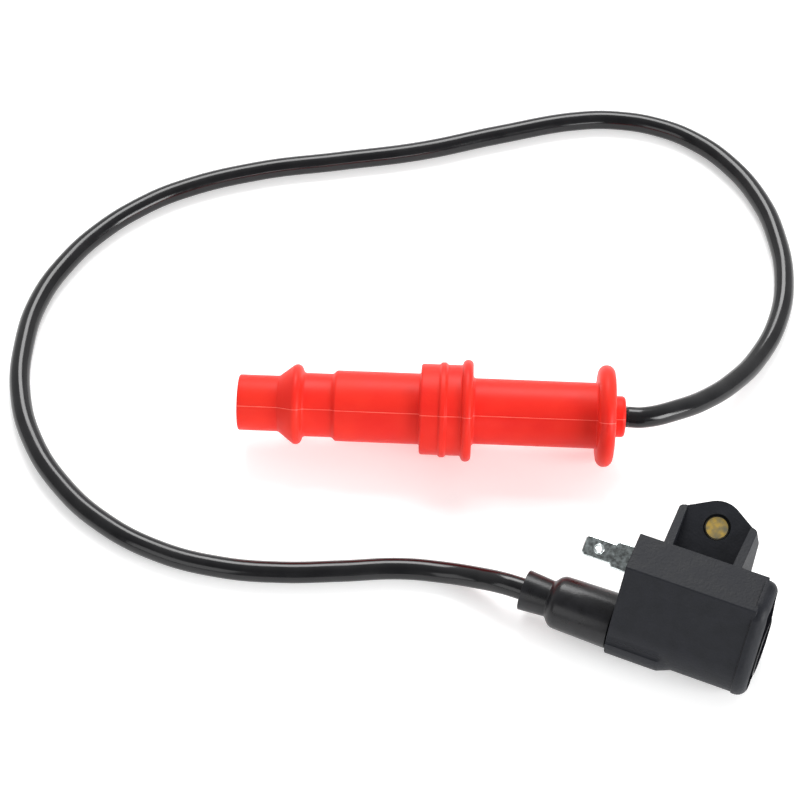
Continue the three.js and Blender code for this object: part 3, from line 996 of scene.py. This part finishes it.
sheet = loose_object("sheet", blade())
pierce_place = Matrix.Translation((blade_hole, 0, 0)) @ Matrix.Rotation(math.pi / 2, 4, "Y")
pierce = loose_object("pierce", cylinder(blade_hole_radius, -2, 2, pierce_place, 40))
blade_bm = combined(sheet, cut_away=[pierce])
bmesh.ops.transform(blade_bm, matrix=blade_place, verts=blade_bm.verts)
blade_piece = new_piece("blade_terminal", blade_bm, zinc, 30)
sheared = blade_piece.modifiers.new("sheared_edge", "BEVEL")
sheared.width = 0.00028
sheared.segments = 2
sheared.material = 1
sheared.limit_method = "ANGLE"
sheared.angle_limit = math.radians(40)
blade_piece.data.materials.append(bright_zinc)
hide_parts("spade_terminal")

# The raised lip round the hole: height over the sheet, and radius.
dimple_outline = [(-0.1, 0.85), (0.05, 0.9), (0.2, 1.15), (0.24, 1.35), (0.14, 1.6), (-0.1, 1.7)]
dimple_bm = turned_mesh(dimple_outline, 40)
bmesh.ops.transform(dimple_bm, matrix=out_of_plane, verts=dimple_bm.verts)
bmesh.ops.translate(dimple_bm, vec=(blade_hole, 0, blade_thick / 2), verts=dimple_bm.verts)
bmesh.ops.transform(dimple_bm, matrix=blade_place, verts=dimple_bm.verts)
dimple = new_piece("blade_dimple", dimple_bm, bright_zinc, 60)

# ---------------------------------------------------------------- inner pieces
# The core, spools, windings, contacts and the parts inside the boot keep their own shapes and
# get the finish of what they are made of.


def copper_turns():
    material, tree, shader = new_material("enamelled_copper", 0.3, metallic=0.9)
    mottled(
        tree,
        shader,
        light=(0.70, 0.30, 0.13),
        dark=(0.48, 0.18, 0.07),
        patch=300,
        grain=3000,
        smooth=0.25,
        rough=0.4,
        bump=0.00003,
    )
    return material


def core_steel():
    material, tree, shader = new_material("rolled_core_steel", 0.4, metallic=0.9)
    mottled(
        tree,
        shader,
        light=(0.36, 0.37, 0.39),
        dark=(0.24, 0.25, 0.27),
        patch=250,
        grain=2000,
        smooth=0.35,
        rough=0.5,
        bump=0.00003,
    )
    return material


def moulded_nylon():
    material, tree, shader = new_material("moulded_nylon", 0.45)
    mottled(
        tree,
        shader,
        light=(0.55, 0.51, 0.40),
        dark=(0.46, 0.42, 0.32),
        patch=120,
        grain=1800,
        smooth=0.4,
        rough=0.5,
        bump=0.00002,
    )
    return material


def brown_phenolic():
    material, tree, shader = new_material("brown_phenolic", 0.4)
    mottled(
        tree,
        shader,
        light=(0.10, 0.040, 0.018),
        dark=(0.06, 0.025, 0.012),
        patch=150,
        grain=1500,
        smooth=0.3,
        rough=0.45,
        bump=0.00003,
    )
    return material


def white_ceramic():
    material, tree, shader = new_material("white_ceramic", 0.35)
    mottled(
        tree,
        shader,
        light=(0.80, 0.76, 0.66),
        dark=(0.72, 0.67, 0.56),
        patch=200,
        grain=1600,
        smooth=0.3,
        rough=0.4,
        bump=0.00002,
    )
    return material


finishes = {
    "copper_wire": copper_turns(),
    "core_steel": core_steel(),
    "bobbin_plastic": moulded_nylon(),
    "phenolic": brown_phenolic(),
    "ceramic": white_ceramic(),
    "brass": brass,
    "zinc_plate": zinc,
    "lead_jacket": jacket,
    "case_plastic": plastic,
    "potting_resin": resin,
    "black_rubber": rubber,
    "red_silicone": silicone,
}
for part in frame["record"]["subparts"]:
    carried = frame["nodes"][part["node"]]
    carried.data.materials.clear()
    carried.data.materials.append(finishes[part["material_slot"]])

# ---------------------------------------------------------------- table and light
# A plain white table under a wide soft light from behind, with weaker ones from the right and
# from the front, between white walls that fill the shadows.

table_half = 6
table_data = bpy.data.meshes.new("table")
table_bm = bmesh.new()
bmesh.ops.create_grid(table_bm, x_segments=1, y_segments=1, size=table_half)
table_bm.to_mesh(table_data)
table_bm.free()
table_finish, table_tree, table_shader = new_material("white_table", 0.8)
table_shader.inputs["Base Color"].default_value = (0.9, 0.9, 0.9, 1)
table_shader.inputs["Emission Color"].default_value = (1, 1, 1, 1)
table_shader.inputs["Emission Strength"].default_value = 0.35
table_data.materials.append(table_finish)
table = bpy.data.objects.new("table", table_data)
bpy.context.collection.objects.link(table)


def soft_light(name, place, target, size, power):
    data = bpy.data.lights.new(name, "AREA")
    data.size = size
    data.energy = power
    lamp = bpy.data.objects.new(name, data)
    lamp.location = place
    aim = Vector(target) - Vector(place)
    lamp.rotation_euler = aim.to_track_quat("-Z", "Y").to_euler()
    bpy.context.collection.objects.link(lamp)


back_light = view_away * 0.95 + Vector((-0.1, 0.06, 1.15))
soft_light("back_softbox", back_light, (-0.1, 0.06, 0), size=0.7, power=16)
soft_light("right_softbox", (0.95, -0.14, 0.36), (0, 0, 0), size=0.5, power=10)
soft_light("front_softbox", (0.6, -0.75, 0.17), (0, 0, 0.02), size=0.3, power=2)
soft_light("low_fill", (-0.35, -0.9, 0.4), (-0.1, 0.05, 0.01), size=0.6, power=2.4)


def studio_sky():
    """White walls that are brighter behind the object than over it and before it."""
    world = bpy.data.worlds.new("studio")
    world.use_nodes = True
    tree = world.node_tree
    background = tree.nodes["Background"]
    direction = node(tree, "ShaderNodeTexCoord")
    along = node(tree, "ShaderNodeVectorMath", operation="DOT_PRODUCT")
    along.inputs[1].default_value = view_away
    strength = node(tree, "ShaderNodeMapRange")
    strength.inputs["From Min"].default_value = -0.4
    strength.inputs["From Max"].default_value = 0.7
    strength.inputs["To Min"].default_value = 0.3
    strength.inputs["To Max"].default_value = 1.0
    tree.links.new(direction.outputs["Generated"], along.inputs[0])
    tree.links.new(along.outputs["Value"], strength.inputs["Value"])
    tree.links.new(strength.outputs["Result"], background.inputs["Strength"])
    background.inputs["Color"].default_value = (1, 1, 1, 1)
    return world


bpy.context.scene.world = studio_sky()
bpy.context.scene.view_settings.view_transform = "Standard"
